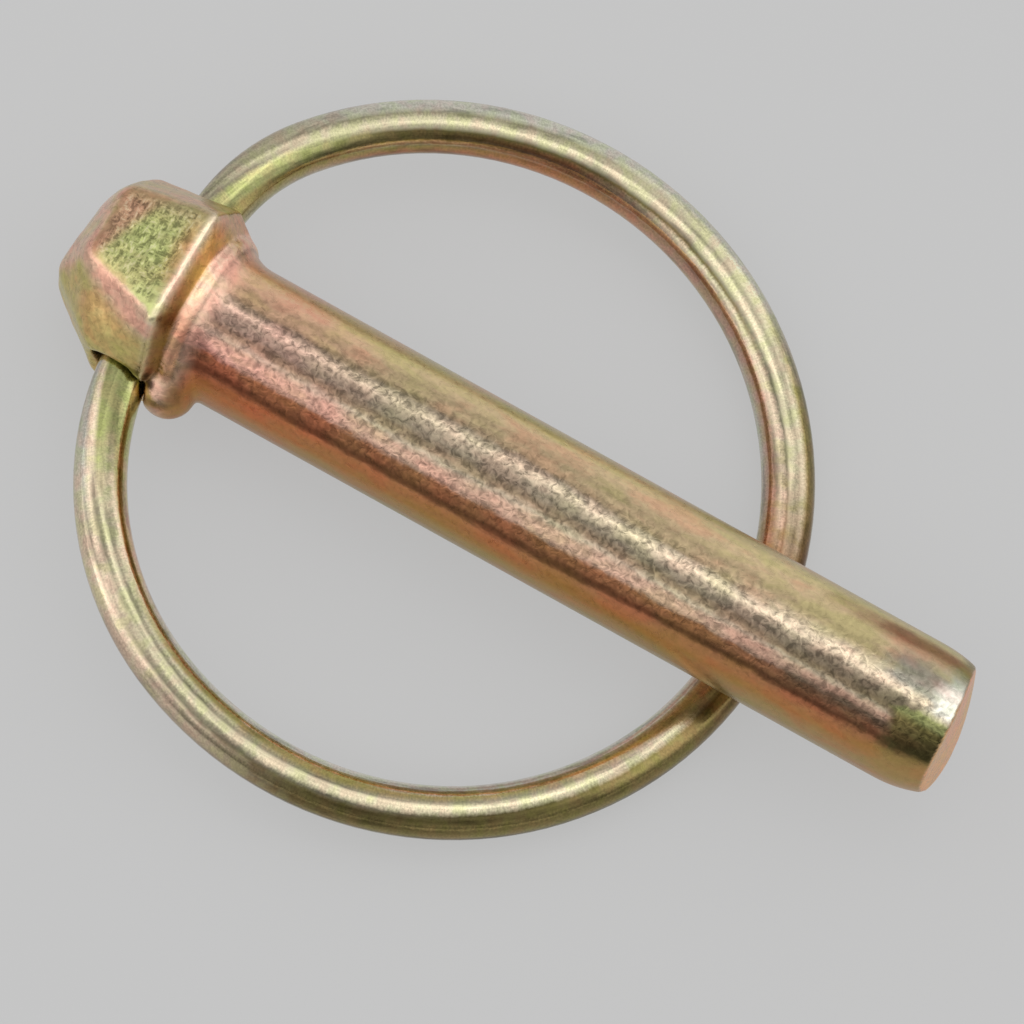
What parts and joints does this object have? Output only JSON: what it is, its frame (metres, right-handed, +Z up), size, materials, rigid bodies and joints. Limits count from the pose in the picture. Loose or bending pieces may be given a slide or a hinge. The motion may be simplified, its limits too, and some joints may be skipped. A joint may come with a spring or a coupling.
{
  "type": "lynch pin",
  "caption": "Headed steel pin with a round shank and a spring wire ring that hinges in the head and closes round the shank to keep the pin in its hole.",
  "frame": {"origin": "on the shank's axis, where its plain wall starts under the head", "axes": "+X along the shank to the tip, Y along the head's cross hole on which the ring swings, +Z up; the ring is closed under the shank"},
  "size_m": [0.0677, 0.0506, 0.0169],
  "materials": {
    "pin_finish": "yellow passivated zinc on forged steel",
    "ring_finish": "yellow passivated zinc on drawn spring wire"
  },
  "bodies": {
    "pin": {"pin": "pin_finish"},
    "ring": {"snap_ring": "ring_finish"}
  },
  "joints": [
    {"name": "ring_swing", "type": "hinge", "parent": "pin", "child": "ring", "pos_m": [-0.0054, 0, 0], "axis": [0, 1, 0], "range_deg": [0, 340]}
  ]
}
